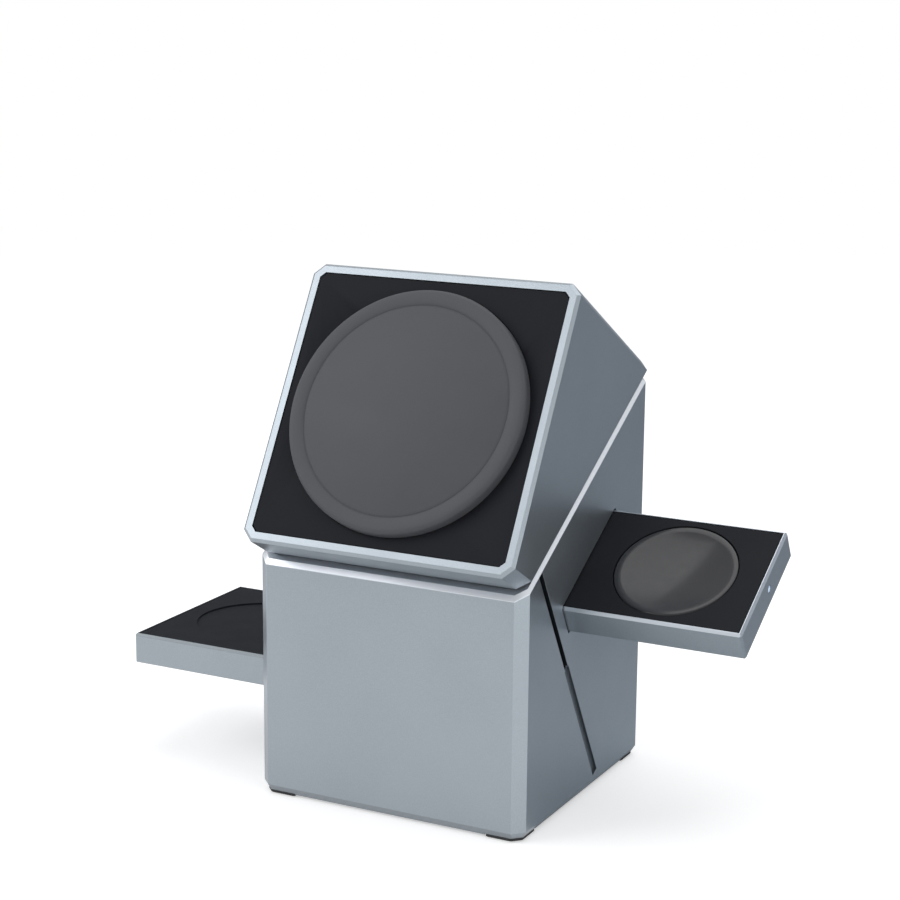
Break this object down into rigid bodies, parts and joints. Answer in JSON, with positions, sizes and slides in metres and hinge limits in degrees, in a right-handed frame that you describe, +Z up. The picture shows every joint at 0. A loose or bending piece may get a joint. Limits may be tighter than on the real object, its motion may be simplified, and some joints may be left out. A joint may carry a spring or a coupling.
{
  "type": "wireless charger",
  "caption": "Folding cube wireless charger: a twisting wedge head holds a phone upright on a round pad, and trays for a watch and an earbud case slide out of the sides.",
  "frame": {"origin": "middle of the footprint of the object as it stands open, on the surface that the feet rest on", "axes": "+Z up; +X from the earbud tray's side to the watch tray's side, the longest way across; -Y towards the user and the phone"},
  "size_m": [0.1476, 0.0732, 0.1176],
  "materials": {
    "casing": "satin anodised, fine blasted grain",
    "deck": "machined",
    "foot": "matt",
    "moulding": "fine spark texture",
    "face_panel": "soft touch",
    "soft_pad": "matt silicone",
    "puck": "polished",
    "light_pin": "frosted",
    "low_friction": "natural acetal",
    "steel": "zinc plated",
    "magnet": "nickel plated",
    "copper": "enamelled copper wire",
    "ferrite": "sintered ferrite",
    "board": "solder mask"
  },
  "bodies": {
    "base": {"base_shell": "casing", "base_deck": "deck", "base_plate": "moulding", "foot_front_left": "foot", "foot_front_right": "foot", "foot_rear_left": "foot", "foot_rear_right": "foot", "plate_screws": "steel", "deck_screws": "steel", "inner_frame": "moulding", "frame_screws": "steel", "main_board": "board", "usb_c_socket": "steel", "swivel_bush": "low_friction", "thrust_ring": "low_friction"},
    "head": {"head_shell": "casing", "head_deck": "deck", "head_deck_screws": "steel", "swivel_shaft": "steel", "shaft_screws": "steel", "spring_washer": "steel", "swivel_nut": "steel", "stop_pin": "steel", "phone_panel": "face_panel", "phone_pad": "soft_pad", "phone_magnets": "magnet", "phone_coil": "copper", "phone_shield": "ferrite", "coil_carrier": "moulding", "carrier_screws": "steel", "head_board": "board"},
    "watch_tray": {"watch_tray_shell": "casing", "watch_tray_cover": "face_panel", "watch_puck": "puck", "watch_coil": "copper", "watch_magnet": "magnet", "watch_shield": "ferrite", "watch_board": "board", "watch_light": "light_pin", "watch_stop_screw": "steel"},
    "ear_tray": {"ear_tray_shell": "casing", "ear_tray_cover": "face_panel", "ear_coil": "copper", "ear_shield": "ferrite", "ear_board": "board", "ear_stop_screw": "steel"}
  },
  "joints": [
    {"name": "head_twist", "type": "hinge", "parent": "base", "child": "head", "pos_m": [0, 0.0038, 0.0743], "axis": [0, -0.5, 0.866], "range_deg": [0, 180]},
    {"name": "watch_tray_slide", "type": "slide", "parent": "base", "child": "watch_tray", "axis": [1, 0, 0], "range_m": [-0.0408, 0]},
    {"name": "ear_tray_slide", "type": "slide", "parent": "base", "child": "ear_tray", "axis": [-1, 0, 0], "range_m": [-0.0408, 0]}
  ]
}
